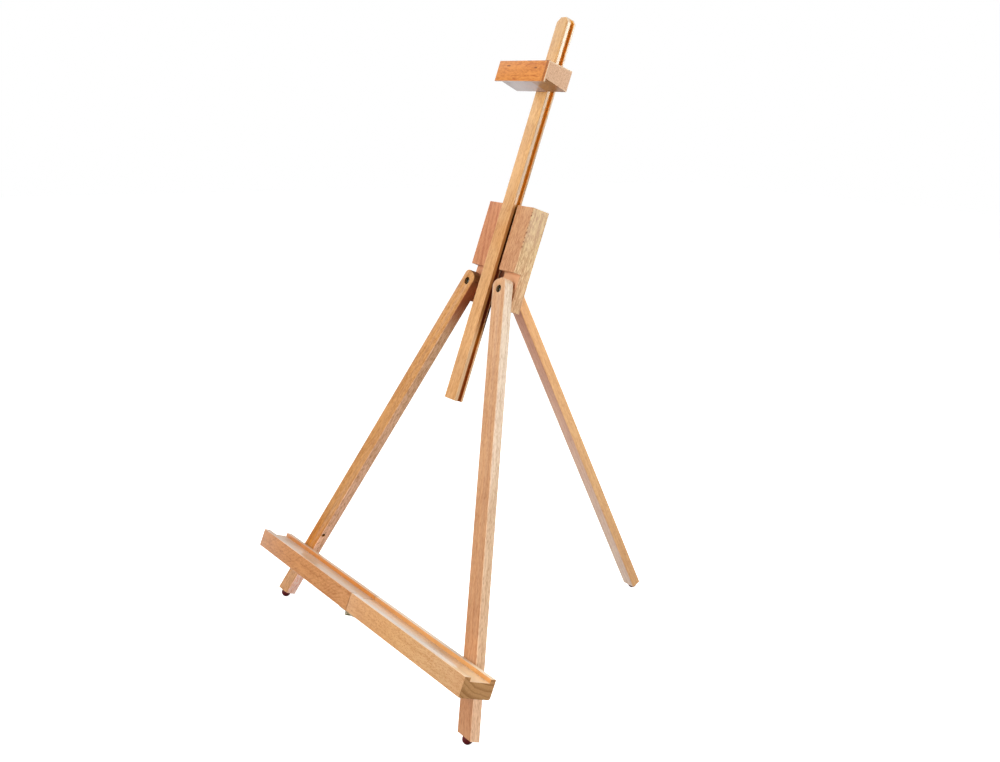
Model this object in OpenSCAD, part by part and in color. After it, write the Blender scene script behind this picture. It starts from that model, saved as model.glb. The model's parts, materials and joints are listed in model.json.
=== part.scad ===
// A folding table easel in varnished beech.
// Two front legs and a sliding mast meet in a head of two cheek blocks, and a rear leg swings out between
// the cheeks. A tray in two halves ties the front legs together and carries the lower edge of the canvas.
// A lipped block on the mast holds the upper edge.
// Millimetres. The floor is z = 0, the front faces -Y, and X runs across the easel.

/* [Stance] */
// Lean of the plane of the front legs from upright, in degrees
leg_tilt = 20.3; // [18:0.1:24]
// How far that plane stands forward of the mast, in degrees
leg_toe = 1.65; // [0.5:0.05:2.5]
// Spread of each front leg from the centre line, in degrees
leg_splay = 22.1; // [18:0.1:27]
// Lean of the rear leg from upright, in degrees
rear_lean = 27.3; // [22:0.1:33]

/* [Front legs] */
// Length of a front leg from its pivot to its sole
leg_len = 552; // [480:1:680]
// Width of a front leg, seen from the front
leg_w = 25.5; // [20:0.1:31]
// Thickness of a front leg
leg_t = 13.5; // [11:0.1:17]
// Height of the rounded end above the pivot
leg_top = 14; // [12:0.1:18]
// Radius of the corners of that end
leg_corner = 9; // [4:0.1:9.5]
// Distance from the leg pivot down to the hole in the leg's inner side
side_hole_drop = 435; // [400:1:440]
// Diameter of that hole
side_hole_dia = 5.2; // [2:0.1:5.4]

/* [Rear leg] */
// Thickness of the rear leg
rear_t = 13.8; // [11:0.1:16]

/* [Head] */
// Height of each cheek block
cheek_h = 136; // [125:1:170]
// Width of each cheek block
cheek_w = 35; // [33:0.1:45]
// Depth of each cheek block
cheek_d = 26.7; // [25:0.1:34]
// Depth of the recess in front of which a leg swings
recess_d = 10.3; // [8:0.1:12.5]
// Height of the recess above the cheek's lower end
recess_h = 49; // [43:1:55]
// Height of the leg pivots above the cheeks' lower ends
pivot_up = 24; // [18:0.5:28]
// Distance from a cheek's inner face to its leg pivot
pivot_in = 22.6; // [20:0.1:26]
// Height of the rear pivot above the leg pivots
rear_pivot_up = 28.8; // [26:0.1:34]
// Distance of the rear pivot from the back of the head
rear_pivot_in = 8.4; // [8:0.1:10]
// Height of the mast's locking knob above the leg pivots
knob_up = 80; // [76:0.5:84]

/* [Mast] */
// Length of the mast
mast_len = 518; // [430:1:625]
// Width of the mast
mast_w = 24.4; // [20:0.1:30]
// Depth of the mast
mast_d = 13.4; // [12:0.1:16.1]
// How far the mast's face stands proud of the cheeks
mast_proud = 5.8; // [4:0.1:7]
// Length of mast below the head
mast_below = 131.4; // [60:1:180]
// Width of the groove in each side of the mast
groove_w = 5.5; // [4.5:0.1:6]
// Depth of that groove
groove_d = 4; // [3.5:0.1:5]
// Distance of that groove from the mast's face
groove_in = 5.1; // [4:0.1:5.2]
// Size of the cut corners at the mast's top
mast_chamfer = 6.7; // [2:0.1:10]

/* [Top clamp] */
// Width of the clamp block
clamp_w = 107; // [80:1:140]
// Height of the clamp block
clamp_h = 27; // [24:0.1:36]
// Depth of the clamp block
clamp_d = 38.8; // [30:0.1:50]
// Thickness of the lip along the block's front
lip_t = 2.6; // [2:0.1:5]
// Depth of the sloping rebate behind the lip
lip_drop = 4.3; // [3:0.1:6]
// Height of the block's underside above the leg pivots
clamp_up = 262; // [200:1:320]

/* [Tray] */
// Distance along a leg from its pivot to the tray's pivot
tray_drop = 479.6; // [450:1:500]
// Length of tray beyond the tray's pivots
tray_over = 51.4; // [30:0.1:80]
// Depth of the tray from front to back
tray_d = 45.4; // [38:0.1:60]
// Height of the tray
tray_h = 24.9; // [22:0.1:32]
// Thickness of the lip along the tray's front
front_lip = 8.6; // [6:0.1:12]
// Thickness of the lip along the tray's back
back_lip = 7.7; // [6:0.1:12]
// Depth of the groove between the lips
tray_groove = 5.1; // [4.5:0.1:6]
// Size of the cut corner along the tray's lower back edge
tray_chamfer = 1.8; // [1:0.1:6]

/* [Feet] */
// Diameter of the rubber feet
foot_dia = 13; // [8:0.1:13]

/* [Screws and pins] */
// Diameter of the bolts at the leg pivots and the tray's pivots
bolt_dia = 5; // [4:0.1:6]
// Diameter of the counterbore in front of each leg pivot
counterbore_dia = 10; // [9.5:0.1:12]
// Diameter of the rear leg's pivot rod
rod_dia = 6; // [5:0.1:7]
// Diameter of the mast's locking screw
mast_screw_dia = 6; // [5:0.1:7]
// Diameter of the clamp's locking screw
clamp_screw_dia = 5; // [4:0.1:5.5]

/* [Hidden] */
$fn = 48;

beech = [0.85, 0.66, 0.45];
pale_beech = [0.89, 0.72, 0.52];
brass = [0.62, 0.47, 0.22];
steel = [0.62, 0.62, 0.63];
rubber = [0.2, 0.05, 0.06];
knob_black = [0.07, 0.07, 0.07];
past = 1; // how far a cutter runs past the face it cuts

// Clearances
run_gap = 0.3; // between faces of pieces that move past each other
run_fit = 0.05; // radial, between a pin and the bore that turns on it
tight_fit = 0.02; // radial, between a pin and the bore that holds it
mast_side_gap = 2; // between the mast and each cheek
edge_r = 0.8; // rounding along the length of every timber

// Head frame: the origin lies between the leg pivots on the recess floor, Y runs back and Z runs up the mast
mast_tilt = leg_tilt - leg_toe;
cheek_low = -pivot_up;
cheek_top = cheek_h - pivot_up;
cheek_front = -recess_d;
cheek_back = cheek_d - recess_d;
cheek_x = mast_w / 2 + mast_side_gap;
step_up = recess_h - pivot_up;
pivot_x = cheek_x + pivot_in;
mast_front = cheek_front - mast_proud;
mast_back = mast_front + mast_d;
mast_low = cheek_low - mast_below;
groove_front = mast_front + groove_in;
groove_back = groove_front + groove_w;

// Sheet metal that wraps the mast: the clip in the head and the clamp's bracket
sheet_t = 1.5;
wrap_x = mast_w / 2 + run_gap; // inner face of a side
wrap_back = mast_back + run_gap; // inner face of the back
lug_x = mast_w / 2 - groove_d + 1.2; // tip of a lug in the groove

// Bridge block between the cheeks
bridge_front = wrap_back + sheet_t;
bridge_low = rear_pivot_up;
rear_y = cheek_back - rear_pivot_in;
rear_fold = rear_lean + mast_tilt; // angle between the rear leg and the mast
clip_low = knob_up - 20;
clip_high = knob_up + 20;
clip_screw_off = 14;
clip_screw_len = 8;
dowel_r = 3;
dowel_grip = 12;
dowel_off = 20;
dowel_y = cheek_back - 4.9;
insert_r = 5;
insert_len = 12;

// Rear pivot
rod_r = rod_dia / 2;
rod_grip = 12;
rear_washer_t = 2.6;
rear_washer_r = 6.4;
rear_w = 2 * (cheek_x - rear_washer_t - run_gap);

// Leg pivots, in the leg frame: the same origin, tilted forward by the toe
bolt_r = bolt_dia / 2;
leg_spacer = 4.2;
leg_back = -leg_spacer - run_gap;
leg_front = leg_back - leg_t;
spacer_r = 10;
bolt_seat = cheek_back - 4.4;
bolt_head_r = 4.75;
bolt_head_t = 3;
seat_r = 6;
counterbore_r = counterbore_dia / 2;
counterbore_deep = 5.5;
nut_r = counterbore_r - 1;
nut_back = leg_front + counterbore_deep - run_gap;
nut_front = leg_front + 0.8;
nut_thread = 3;
socket_r = 2.3;
socket_deep = 1.2;
side_hole_y = leg_front + 3.5;
side_hole_deep = 9;

// Tray
sole_z = -leg_len * cos(leg_splay);
sole_x = pivot_x + leg_len * sin(leg_splay);
tray_pivot_x = pivot_x + tray_drop * sin(leg_splay);
tray_mid = -tray_drop * cos(leg_splay);
tray_low = tray_mid - tray_h / 2;
thin_washer_t = 0.6;
tray_back = leg_front - run_gap - thin_washer_t;
tray_front = tray_back - tray_d;
tray_end = tray_pivot_x + tray_over;
joint_gap = 0.6;
tray_edge_r = 0.9;
tray_insert_r = 4;
tray_insert_len = 12;
back_washer_t = 0.8;
washer_r = 6;

// Hinge under the tray's joint
leaf_t = 1.2;
leaf_reach = 20;
knuckle_r = 2.75;
knuckle_drop = knuckle_r + 0.35; // of the pin's axis below the tray
hinge_edge = 1.7; // from the hinge's front end to the tray's face
hinge_margin = 0.8; // from the hinge's back end to the cut corner
hinge_y = tray_front + hinge_edge;
hinge_len = tray_d - hinge_edge - tray_chamfer - hinge_margin;
knuckles = 5;
knuckle_len = hinge_len / knuckles;
hinge_pin_r = 1.2;
hinge_screw_x = 13.5;
hinge_screw_in = 8;
screw_r = 1.5;
screw_head_r = 2.9;
screw_cone = 1.2;
hinge_screw_len = 10;

// Clamp
clamp_gap = 0.8;
clamp_back = mast_front - clamp_gap;
clamp_front = clamp_back - clamp_d;
clamp_top = clamp_up + clamp_h;
bracket_low = clamp_top - 20;
bracket_mid = clamp_top - 9;
ear_x = 27;
ear_screw_x = 20.5;
ear_screw_len = 11;
pan_head_r = 2.9;
pan_head_t = 1.7;
clamp_nut_r = 4.6;
clamp_nut_len = 6;

// Knobs
knob_gap = 1;
neck_len = 4;
mast_knob_r = 14;
mast_knob_t = 14;
clamp_knob_r = 8;
clamp_knob_t = 8;
clamp_neck = 1.5;

// Feet: a short skirt, then half a sphere
foot_r = foot_dia / 2;
foot_skirt = 2.6;
peg_r = 2;
peg_len = 9;

// Where the head frame's origin stands, so that all three feet touch the floor
sole_y = leg_back - leg_t / 2;
place_z = foot_r + (foot_skirt - sole_z) * cos(leg_tilt) + sole_y * sin(leg_tilt);
rear_pivot_z = place_z + rear_pivot_up * cos(mast_tilt) - rear_y * sin(mast_tilt);
rear_len = (rear_pivot_z - foot_r) / cos(rear_lean) - foot_skirt;
rear_pivot_y = rear_pivot_up * sin(mast_tilt) + rear_y * cos(mast_tilt);
reach_back = rear_pivot_y + (rear_len + foot_skirt) * sin(rear_lean) + foot_r;
tray_reach = (tray_front + tray_edge_r) * cos(leg_tilt) + (tray_low + tray_edge_r) * sin(leg_tilt) - tray_edge_r;
hinge_reach = hinge_y * cos(leg_tilt) + (tray_low - knuckle_drop - knuckle_r) * sin(leg_tilt);
sole_reach = leg_front * cos(leg_tilt) + sole_z * sin(leg_tilt);
foot_reach = sole_y * cos(leg_tilt) + (sole_z - foot_skirt) * sin(leg_tilt) - foot_r;
place_y = -(reach_back + min(tray_reach, hinge_reach, sole_reach, foot_reach)) / 2;

// ---- frames and shapes that repeat ----

module in_head() {
    translate([0, place_y, place_z]) rotate([-mast_tilt, 0, 0]) children();
}

module in_legs() {
    translate([0, place_y, place_z]) rotate([-leg_tilt, 0, 0]) children();
}

// The rear leg's own frame: its pivot is the origin and the leg runs down -Z
module in_rear() {
    in_head() translate([0, rear_y, rear_pivot_up]) rotate([rear_fold, 0, 0]) children();
}

module both_sides() {
    for (side = [-1, 1]) scale_side(side) children();
}

module scale_side(side) {
    mirror([side < 0 ? 1 : 0, 0, 0]) children();
}

module block(x, y, z) {
    translate([x[0], y[0], z[0]]) cube([x[1] - x[0], y[1] - y[0], z[1] - z[0]]);
}

module rod_y(r, y0, y1) {
    translate([0, y0, 0]) rotate([-90, 0, 0]) cylinder(r = r, h = y1 - y0);
}

module rod_x(r, x0, x1) {
    translate([x0, 0, 0]) rotate([0, 90, 0]) cylinder(r = r, h = x1 - x0);
}

module ring_y(r, bore, y0, y1) {
    difference() {
        rod_y(r, y0, y1);
        rod_y(bore, y0 - past, y1 + past);
    }
}

module round_rect(w, d, r) {
    square([w - 2 * r, d], center = true);
    square([w, d - 2 * r], center = true);
    for (x = [-1, 1], y = [-1, 1]) translate([x * (w / 2 - r), y * (d / 2 - r)]) circle(r);
}

// A planed timber with its edges eased, standing on z = 0
module timber(w, d, l) {
    linear_extrude(l) round_rect(w, d, edge_r);
}

// A countersunk screw: its flat head faces +Y at y = 0 and its shank runs to -Y
module flat_screw(len) {
    rotate([90, 0, 0]) cylinder(r1 = screw_head_r, r2 = screw_r, h = screw_cone);
    rod_y(screw_r, -len, -screw_cone);
}

module flat_screw_hole(len) {
    rotate([90, 0, 0]) cylinder(r1 = screw_head_r + tight_fit, r2 = screw_r + tight_fit, h = screw_cone);
    rod_y(screw_r + tight_fit, -len - tight_fit, -screw_cone);
}

// A hand knob with rounded lobes, its face towards +Y
module lobed_knob(r, t, lobes) {
    lobe_r = r * 0.36;
    rotate([-90, 0, 0]) linear_extrude(t) {
        circle(r * 0.8);
        for (i = [0 : lobes - 1]) rotate(i * 360 / lobes) translate([r - lobe_r, 0]) circle(lobe_r);
    }
}

// ---- head ----

module cheek(side) {
    difference() {
        translate([side * (cheek_x + cheek_w / 2), (cheek_front + cheek_back) / 2, cheek_low])
            timber(cheek_w, cheek_d, cheek_h);
        rotate([-leg_toe, 0, 0]) block([-100, 100], [-40, 0], [cheek_low - 20, step_up]);
        scale_side(side) cheek_bores();
    }
}

module cheek_bores() {
    rotate([-leg_toe, 0, 0]) translate([pivot_x, 0, 0]) {
        rod_y(bolt_r + tight_fit, -past, cheek_back + past);
        rod_y(seat_r, bolt_seat, cheek_back + 4);
    }
    translate([0, rear_y, rear_pivot_up]) rod_x(rod_r + tight_fit, cheek_x - past, cheek_x + rod_grip + run_gap);
    for (s = [-1, 1]) translate([0, dowel_y, knob_up + s * dowel_off])
        rod_x(dowel_r + tight_fit, cheek_x - past, cheek_x + dowel_grip + run_gap);
}

module left_cheek() {
    color(beech) in_head() cheek(-1);
}

module right_cheek() {
    color(pale_beech) in_head() cheek(1);
}

// The block that joins the cheeks. Its lower face is the stop that the open rear leg rests on.
module bridge_block() {
    color(beech) in_head() difference() {
        block([-cheek_x, cheek_x], [bridge_front, cheek_back], [bridge_low, cheek_top]);
        translate([0, rear_y, rear_pivot_up]) rotate([rear_fold, 0, 0])
            block([-40, 40], [-60, rear_t / 2 + run_gap], [-80, 80]);
        translate([0, 0, knob_up]) {
            rod_y(mast_screw_dia / 2 + run_gap, bridge_front - past, cheek_back + past);
            rod_y(insert_r + tight_fit, cheek_back - insert_len, cheek_back + past);
        }
        for (s = [-1, 1]) translate([0, dowel_y, knob_up + s * dowel_off])
            rod_x(dowel_r + tight_fit, -cheek_x - past, cheek_x + past);
        clip_screw_places() rod_y(screw_r + tight_fit, -past, clip_screw_len);
    }
}

module bridge_dowels() {
    color(pale_beech) in_head() for (s = [-1, 1]) translate([0, dowel_y, knob_up + s * dowel_off])
        rod_x(dowel_r, -cheek_x - dowel_grip, cheek_x + dowel_grip);
}

module clip_screw_places() {
    for (s = [-1, 1]) translate([0, bridge_front - sheet_t, knob_up + s * clip_screw_off]) children();
}

// Sheet wrapped round the back and sides of the mast, from y0 back to the back face
module wrap(y0, z0, z1) {
    difference() {
        block([-wrap_x - sheet_t, wrap_x + sheet_t], [y0, wrap_back + sheet_t], [z0, z1]);
        block([-wrap_x, wrap_x], [y0 - past, wrap_back], [z0 - past, z1 + past]);
    }
}

// Its hooked sides run in the mast's grooves and guide it
module mast_clip() {
    hook = groove_back - run_gap;
    color(steel) in_head() difference() {
        union() {
            wrap(hook - sheet_t, clip_low, clip_high);
            for (side = [-1, 1]) scale_side(side)
                block([lug_x, wrap_x + sheet_t / 2], [hook - sheet_t, hook], [clip_low, clip_high]);
        }
        translate([0, 0, knob_up]) rod_y(mast_screw_dia / 2 + run_gap, wrap_back - past, bridge_front + past);
        clip_screw_places() rotate([0, 0, 180]) flat_screw_hole(clip_screw_len);
    }
}

module clip_screws() {
    color(steel) in_head() clip_screw_places() rotate([0, 0, 180]) flat_screw(clip_screw_len);
}

module knob_insert() {
    color(brass) in_head() translate([0, 0, knob_up])
        ring_y(insert_r, mast_screw_dia / 2 + run_fit, cheek_back - insert_len, cheek_back);
}

module rear_pivot_rod() {
    color(steel) in_head() translate([0, rear_y, rear_pivot_up])
        rod_x(rod_r, -cheek_x - rod_grip, cheek_x + rod_grip);
}

module rear_pivot_washers() {
    color(steel) in_head() for (x0 = [-cheek_x, cheek_x - rear_washer_t])
        translate([0, rear_y, rear_pivot_up]) difference() {
            rod_x(rear_washer_r, x0, x0 + rear_washer_t);
            rod_x(rod_r + run_fit, x0 - past, x0 + rear_washer_t + past);
        }
}

module leg_pivot_bolts() {
    color(steel) in_legs() both_sides() translate([pivot_x, 0, 0]) {
        rod_y(bolt_r, nut_back - nut_thread + run_gap, bolt_seat);
        rod_y(bolt_head_r, bolt_seat, bolt_seat + bolt_head_t);
    }
}

module leg_pivot_nuts() {
    color(brass) in_legs() both_sides() translate([pivot_x, 0, 0]) difference() {
        rod_y(nut_r, nut_front, nut_back);
        rod_y(bolt_r + tight_fit, nut_back - nut_thread, nut_back + past);
        translate([0, nut_front - past, 0]) rotate([-90, 0, 0])
            cylinder(r = socket_r, h = socket_deep + past, $fn = 6);
    }
}

module leg_spacers() {
    color(pale_beech) in_legs() both_sides() translate([pivot_x, 0, 0])
        ring_y(spacer_r, bolt_r + run_fit, -leg_spacer, 0);
}

module mast_lock_screw() {
    color(steel) in_head() translate([0, 0, knob_up])
        rod_y(mast_screw_dia / 2, mast_back + run_gap, cheek_back + knob_gap + neck_len + mast_knob_t / 2);
}

module mast_knob() {
    color(knob_black) in_head() translate([0, 0, knob_up]) difference() {
        union() {
            rod_y(mast_screw_dia / 2 + 3.5, cheek_back + knob_gap, cheek_back + knob_gap + neck_len);
            translate([0, cheek_back + knob_gap + neck_len, 0]) lobed_knob(mast_knob_r, mast_knob_t, 6);
        }
        rod_y(mast_screw_dia / 2 + tight_fit, cheek_back, cheek_back + knob_gap + neck_len + mast_knob_t / 2);
    }
}

// ---- mast ----

module mast() {
    top = mast_low + mast_len;
    color(pale_beech) in_head() difference() {
        translate([0, (mast_front + mast_back) / 2, mast_low]) timber(mast_w, mast_d, mast_len);
        for (side = [-1, 1]) scale_side(side) {
            block([mast_w / 2 - groove_d, mast_w], [groove_front, groove_back], [mast_low - past, top + past]);
            translate([mast_w / 2, 0, top]) rotate([0, 45, 0])
                block([-2 * mast_chamfer, 2 * mast_chamfer], [mast_front - past, mast_back + past],
                    [-mast_chamfer * sqrt(0.5), 2 * mast_chamfer]);
        }
    }
}

// ---- top clamp ----

module clamp_block() {
    color(beech) in_head() difference() {
        translate([-clamp_w / 2, 0, 0]) rotate([90, 0, 90]) linear_extrude(clamp_w) polygon([
            [clamp_front, clamp_up],
            [clamp_front + lip_t, clamp_up],
            [clamp_front + lip_t, clamp_up + lip_drop],
            [clamp_back, clamp_up],
            [clamp_back, clamp_top],
            [clamp_front, clamp_top]
        ]);
        ear_screw_places() rod_y(screw_r + tight_fit, -ear_screw_len - tight_fit, past);
    }
}

module ear_screw_places() {
    for (s = [-1, 1]) translate([s * ear_screw_x, clamp_back, (bracket_low + clamp_top) / 2]) children();
}

module clamp_bracket() {
    groove_mid = (groove_front + groove_back) / 2;
    color(steel) in_head() difference() {
        union() {
            wrap(clamp_back, bracket_low, clamp_top);
            for (side = [-1, 1]) scale_side(side) {
                block([wrap_x, ear_x], [clamp_back, clamp_back + sheet_t], [bracket_low, clamp_top]);
                block([lug_x, wrap_x + sheet_t / 2], [groove_mid - 1.2, groove_mid + 1.2],
                    [bracket_low + 5, clamp_top - 5]);
            }
        }
        translate([0, 0, bracket_mid])
            rod_y(clamp_screw_dia / 2 + run_gap, wrap_back - past, wrap_back + sheet_t + past);
        ear_screw_places() rod_y(screw_r + tight_fit, -past, sheet_t + past);
    }
}

module clamp_bracket_screws() {
    color(steel) in_head() ear_screw_places() {
        rod_y(screw_r, -ear_screw_len, sheet_t);
        rod_y(pan_head_r, sheet_t, sheet_t + pan_head_t);
    }
}

module clamp_nut() {
    color(brass) in_head() translate([0, wrap_back + sheet_t, bracket_mid])
        ring_y(clamp_nut_r, clamp_screw_dia / 2 + run_fit, 0, clamp_nut_len);
}

module clamp_lock_screw() {
    nut_end = wrap_back + sheet_t + clamp_nut_len;
    color(steel) in_head() translate([0, 0, bracket_mid])
        rod_y(clamp_screw_dia / 2, mast_back + run_gap, nut_end + knob_gap + clamp_neck + clamp_knob_t / 2);
}

module clamp_knob() {
    nut_end = wrap_back + sheet_t + clamp_nut_len;
    color(knob_black) in_head() translate([0, 0, bracket_mid]) difference() {
        union() {
            rod_y(clamp_screw_dia / 2 + 2, nut_end + knob_gap, nut_end + knob_gap + clamp_neck);
            translate([0, nut_end + knob_gap + clamp_neck, 0]) lobed_knob(clamp_knob_r, clamp_knob_t, 5);
        }
        rod_y(clamp_screw_dia / 2 + tight_fit, nut_end, nut_end + knob_gap + clamp_neck + clamp_knob_t / 2);
    }
}

// ---- front legs ----

module front_leg(side) {
    spare = leg_w;
    difference() {
        translate([side * pivot_x, leg_back, 0]) rotate([0, -side * leg_splay, 0]) difference() {
            intersection() {
                translate([0, -leg_t / 2, -leg_len - spare]) timber(leg_w, leg_t, leg_len + spare + leg_top);
                translate([0, past, 0]) rotate([90, 0, 0]) linear_extrude(leg_t + 2 * past) leg_outline(spare);
            }
            rod_y(bolt_r + run_fit, -leg_t - past, past);
            rod_y(counterbore_r, -leg_t - past, -leg_t + counterbore_deep);
            translate([0, 0, -tray_drop]) rod_y(bolt_r + run_fit, -leg_t - past, past);
            translate([0, side_hole_y - leg_back, -side_hole_drop]) rotate([0, side > 0 ? 0 : 180, 0])
                rod_x(side_hole_dia / 2, -leg_w / 2 - past, -leg_w / 2 + side_hole_deep);
        }
        block([-800, 800], [leg_front - past, leg_back + past], [sole_z - 2 * spare, sole_z]);
        translate([side * sole_x, sole_y, sole_z]) cylinder(r = peg_r + tight_fit, h = peg_len + tight_fit);
    }
}

module leg_outline(spare) {
    inner = leg_w / 2 - leg_corner;
    translate([-leg_w / 2, -leg_len - spare]) square([leg_w, leg_len + spare + leg_top - leg_corner]);
    translate([-inner, 0]) square([2 * inner, leg_top]);
    for (x = [-inner, inner]) translate([x, leg_top - leg_corner]) circle(leg_corner);
}

// A rubber foot with its peg, its flat top at z = 0
module foot() {
    color(rubber) {
        translate([0, 0, -foot_skirt]) cylinder(r = foot_r, h = foot_skirt);
        cylinder(r = peg_r, h = peg_len);
        translate([0, 0, -foot_skirt]) intersection() {
            sphere(foot_r);
            translate([0, 0, -foot_r]) cylinder(r = foot_r + past, h = foot_r);
        }
    }
}

module left_leg() {
    color(beech) in_legs() front_leg(-1);
}

module right_leg() {
    color(pale_beech) in_legs() front_leg(1);
}

module left_foot() {
    in_legs() translate([-sole_x, sole_y, sole_z]) foot();
}

module right_foot() {
    in_legs() translate([sole_x, sole_y, sole_z]) foot();
}

// ---- rear leg ----

module rear_leg() {
    color(beech) in_rear() difference() {
        intersection() {
            translate([0, 0, -rear_len]) timber(rear_w, rear_t, rear_len + rear_t);
            translate([-rear_w / 2 - past, 0, 0]) rotate([90, 0, 90]) linear_extrude(rear_w + 2 * past) {
                circle(rear_t / 2);
                translate([-rear_t / 2, -rear_len]) square([rear_t, rear_len]);
            }
        }
        rod_x(rod_r + run_fit, -rear_w, rear_w);
        translate([0, 0, -rear_len - past]) cylinder(r = peg_r + tight_fit, h = peg_len + tight_fit + past);
    }
}

module rear_foot() {
    in_rear() translate([0, 0, -rear_len]) foot();
}

// ---- tray ----

module tray_half(side) {
    scale_side(side) difference() {
        translate([joint_gap / 2, 0, 0]) rotate([90, 0, 90]) linear_extrude(tray_end - joint_gap / 2) difference() {
            translate([(tray_front + tray_back) / 2, tray_mid]) round_rect(tray_d, tray_h, tray_edge_r);
            translate([tray_front + front_lip, tray_low + tray_h - tray_groove])
                square([tray_d - front_lip - back_lip, tray_groove + past]);
            translate([tray_back - tray_chamfer, tray_low]) rotate(-45) square(2 * tray_chamfer);
        }
        translate([tray_pivot_x, 0, tray_mid])
            rod_y(tray_insert_r + tight_fit, tray_back - tray_insert_len - run_gap, tray_back + past);
        hinge_screw_places() cylinder(r = screw_r + tight_fit, h = hinge_screw_len);
    }
}

module tray_left() {
    color(beech) in_legs() tray_half(-1);
}

module tray_right() {
    color(pale_beech) in_legs() tray_half(1);
}

module tray_insert(side) {
    color(brass) in_legs() translate([side * tray_pivot_x, 0, tray_mid])
        ring_y(tray_insert_r, bolt_r + tight_fit, tray_back - tray_insert_len, tray_back);
}

module left_insert() {
    tray_insert(-1);
}

module right_insert() {
    tray_insert(1);
}

// Turns in the leg's bore and is screwed into the tray
module left_tray_bolt() {
    seat = leg_back + run_gap + back_washer_t;
    color(steel) in_legs() translate([-tray_pivot_x, 0, tray_mid]) {
        rod_y(bolt_r, tray_back - tray_insert_len + past, seat);
        rod_y(bolt_head_r, seat, seat + bolt_head_t);
    }
}

module left_washers() {
    color(steel) in_legs() translate([-tray_pivot_x, 0, tray_mid]) {
        ring_y(washer_r, bolt_r + tight_fit, leg_back + run_gap, leg_back + run_gap + back_washer_t);
        ring_y(washer_r, bolt_r + tight_fit, tray_back, tray_back + thin_washer_t);
    }
}

// The same bolt, ended at the leg's face where the folding linkage is opened
module right_tray_bolt() {
    seat = leg_back + back_washer_t;
    color(steel) in_legs() translate([tray_pivot_x, 0, tray_mid]) {
        rod_y(bolt_r, leg_front, seat);
        rod_y(bolt_head_r, seat, seat + bolt_head_t);
    }
}

module right_bolt_washer() {
    color(steel) in_legs() translate([tray_pivot_x, 0, tray_mid])
        ring_y(washer_r, bolt_r + tight_fit, leg_back, leg_back + back_washer_t);
}

module right_washer() {
    color(steel) in_legs() translate([tray_pivot_x, 0, tray_mid])
        ring_y(washer_r, bolt_r + tight_fit, tray_back, tray_back + thin_washer_t);
}

// ---- hinge under the tray ----

module hinge_screw_places() {
    for (y = [hinge_y + hinge_screw_in, hinge_y + hinge_len - hinge_screw_in])
        translate([hinge_screw_x, y, tray_low - leaf_t]) children();
}

// Knuckle number i, grown by g all round and by e at each end
module knuckle(i, g, e) {
    translate([0, hinge_y + i * knuckle_len, tray_low - knuckle_drop]) rod_y(knuckle_r + g, -e, knuckle_len + e);
}

// The leaf on the right half when side is 1. first is its first knuckle, and bore the pin's bore in it.
module hinge_leaf(side, first, bore) {
    color(brass) in_legs() difference() {
        union() {
            scale_side(side) block([0, leaf_reach], [hinge_y, hinge_y + hinge_len], [tray_low - leaf_t, tray_low]);
            for (i = [first : 2 : knuckles - 1]) knuckle(i, 0, i == 0 || i == knuckles - 1 ? 0 : -0.15);
        }
        for (i = [1 - first : 2 : knuckles - 1]) {
            knuckle(i, run_gap, 0.15);
            scale_side(side) block([-past, knuckle_r + run_gap],
                [hinge_y + i * knuckle_len - 0.15, hinge_y + (i + 1) * knuckle_len + 0.15],
                [tray_low - knuckle_drop, tray_low + past]);
        }
        translate([0, 0, tray_low - knuckle_drop]) rod_y(bore, hinge_y - past, hinge_y + hinge_len + past);
        scale_side(side) hinge_screw_places() translate([0, 0, -tight_fit])
            cylinder(r1 = screw_head_r + tight_fit, r2 = screw_r + tight_fit, h = screw_cone + tight_fit);
    }
}

module hinge_leaf_left() {
    hinge_leaf(-1, 0, hinge_pin_r + tight_fit);
}

module hinge_leaf_right() {
    hinge_leaf(1, 1, hinge_pin_r + run_fit);
}

module hinge_pin() {
    color(steel) in_legs() translate([0, 0, tray_low - knuckle_drop]) rod_y(hinge_pin_r, hinge_y, hinge_y + hinge_len);
}

module hinge_screws(side) {
    color(brass) in_legs() scale_side(side) hinge_screw_places() {
        cylinder(r1 = screw_head_r, r2 = screw_r, h = screw_cone);
        translate([0, 0, screw_cone]) cylinder(r = screw_r, h = hinge_screw_len - screw_cone - tight_fit);
    }
}

module hinge_screws_left() {
    hinge_screws(-1);
}

module hinge_screws_right() {
    hinge_screws(1);
}

left_cheek();
right_cheek();
bridge_block();
bridge_dowels();
mast_clip();
clip_screws();
knob_insert();
rear_pivot_rod();
rear_pivot_washers();
leg_pivot_bolts();
leg_pivot_nuts();
leg_spacers();
mast_lock_screw();
mast_knob();
mast();
clamp_block();
clamp_bracket();
clamp_bracket_screws();
clamp_nut();
clamp_lock_screw();
clamp_knob();
left_leg();
left_foot();
right_leg();
right_foot();
right_tray_bolt();
right_bolt_washer();
rear_leg();
rear_foot();
tray_left();
left_insert();
left_tray_bolt();
left_washers();
hinge_leaf_left();
hinge_pin();
hinge_screws_left();
tray_right();
right_insert();
right_washer();
hinge_leaf_right();
hinge_screws_right();
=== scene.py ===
import bpy
import bmesh
import json
import math
import numpy as np
from mathutils import Matrix, Vector
from types import SimpleNamespace


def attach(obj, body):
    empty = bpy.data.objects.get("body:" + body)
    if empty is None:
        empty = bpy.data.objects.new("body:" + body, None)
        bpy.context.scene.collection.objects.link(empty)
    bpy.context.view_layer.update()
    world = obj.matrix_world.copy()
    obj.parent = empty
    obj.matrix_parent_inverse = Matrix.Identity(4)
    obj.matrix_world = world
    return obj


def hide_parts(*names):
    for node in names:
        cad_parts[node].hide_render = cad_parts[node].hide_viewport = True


mm = 0.001

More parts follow.
